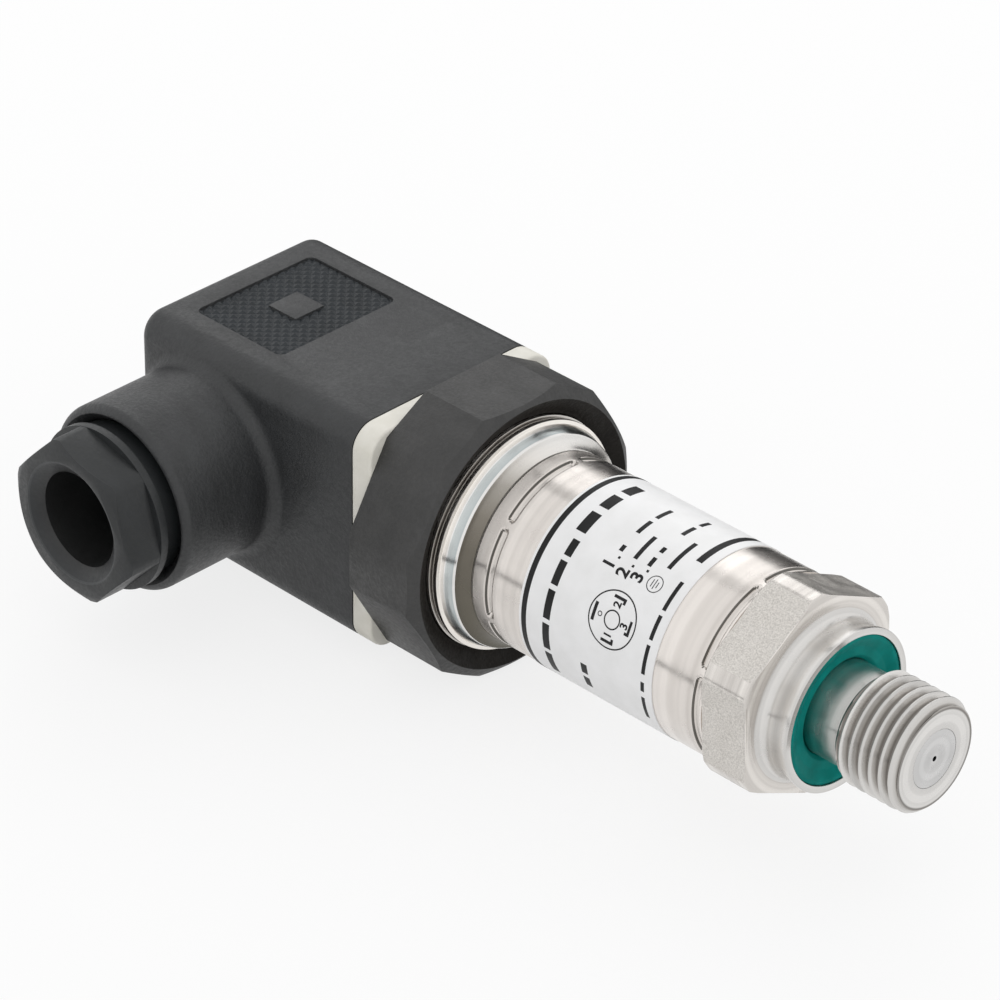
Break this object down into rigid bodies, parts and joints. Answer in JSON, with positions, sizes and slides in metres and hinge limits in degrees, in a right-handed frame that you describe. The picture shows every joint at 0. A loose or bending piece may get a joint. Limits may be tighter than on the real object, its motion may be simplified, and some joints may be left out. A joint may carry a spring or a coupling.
{
  "type": "pressure sensor",
  "caption": "Screw-in pressure transmitter: threaded steel stud with a captive seal, hexagon, steel tube and a black right-angle connector plug with a cable gland.",
  "frame": {"origin": "centre of the sealing face, the front plane of the ring round the seal on the stud's shoulder", "axes": "+X along the sensor axis, out through the threaded stud; the cable gland points to -Y; +Z leaves the plug's face with the grip patch"},
  "size_m": [0.1068, 0.0514, 0.0334],
  "materials": {
    "stainless": "turned stud and shoulder, fine-blasted hexagon flats",
    "stainless_insert": "finely turned face",
    "seal_green": "smooth moulded elastomer",
    "rubber_black": "smooth moulded rubber",
    "ceramic": "ground alumina",
    "stainless_inner": "turned",
    "stainless_tube": "satin, drawn tube",
    "label_film": "matt white film with dark grey print",
    "board_green": "solder resist on laminate",
    "component_black": "moulded packages",
    "wire_insulation": "insulated hook-up wire",
    "stainless_flange": "bright turned",
    "plastic_base": "black glass-filled plastic, fine grain",
    "brass": "turned and knurled",
    "gasket_white": "off-white moulded gasket",
    "plastic_housing": "black glass-filled plastic, fine grain",
    "plastic_insert": "moulded dark grey plastic",
    "zinc_screw": "zinc plated",
    "plastic_ring": "moulded grey plastic",
    "plastic_nut": "black glass-filled plastic, fine grain",
    "tinned_contact": "tinned brass"
  },
  "bodies": {
    "sensor": {"process_connector": "stainless", "orifice_insert": "stainless_insert", "profile_seal": "seal_green", "cell_o_ring": "rubber_black", "sensor_cell": "ceramic", "cell_retaining_ring": "stainless_inner", "body_tube": "stainless_tube", "label": "label_film", "circuit_board": "board_green", "board_components": "component_black", "sensor_leads": "wire_insulation", "pin_leads": "wire_insulation", "flange_ring": "stainless_flange", "base_o_ring": "rubber_black", "connector_base": "plastic_base", "screw_insert": "brass", "contact_blade_1": "tinned_contact", "contact_blade_2": "tinned_contact", "contact_blade_3": "tinned_contact", "contact_blade_earth": "tinned_contact"},
    "plug": {"profile_gasket": "gasket_white", "plug_housing": "plastic_housing", "contact_insert": "plastic_insert", "terminal_screws": "zinc_screw", "gland_seal": "rubber_black", "socket_contact_1": "tinned_contact", "socket_contact_2": "tinned_contact", "socket_contact_3": "tinned_contact", "socket_contact_earth": "tinned_contact"},
    "screw_washer": {"screw_washer": "zinc_screw"},
    "centre_screw": {"centre_screw": "zinc_screw"},
    "thrust_ring": {"thrust_ring": "plastic_ring"},
    "gland_nut": {"gland_nut": "plastic_nut"}
  },
  "joints": [
    {"name": "plug_pull", "type": "slide", "parent": "sensor", "child": "plug", "axis": [-1, 0, 0], "range_m": [0, 0.016]},
    {"name": "screw_lift", "type": "slide", "parent": "plug", "child": "screw_washer", "axis": [-1, 0, 0], "range_m": [0, 0.005]},
    {"name": "screw_turn", "type": "hinge", "parent": "screw_washer", "child": "centre_screw", "pos_m": [-0.09, 0, 0], "axis": [-1, 0, 0], "range_deg": [0, 3600]},
    {"name": "ring_travel", "type": "slide", "parent": "plug", "child": "thrust_ring", "axis": [0, -1, 0], "range_m": [0, 0.006]},
    {"name": "nut_turn", "type": "hinge", "parent": "thrust_ring", "child": "gland_nut", "pos_m": [-0.0836, 0, 0], "axis": [0, -1, 0], "range_deg": [0, 1440]}
  ],
  "couplings": [
    {"joint": "screw_turn", "follows": "screw_lift", "rad_per_m": 12566},
    {"joint": "ring_travel", "follows": "nut_turn", "m_per_rad": 0.00023873}
  ]
}
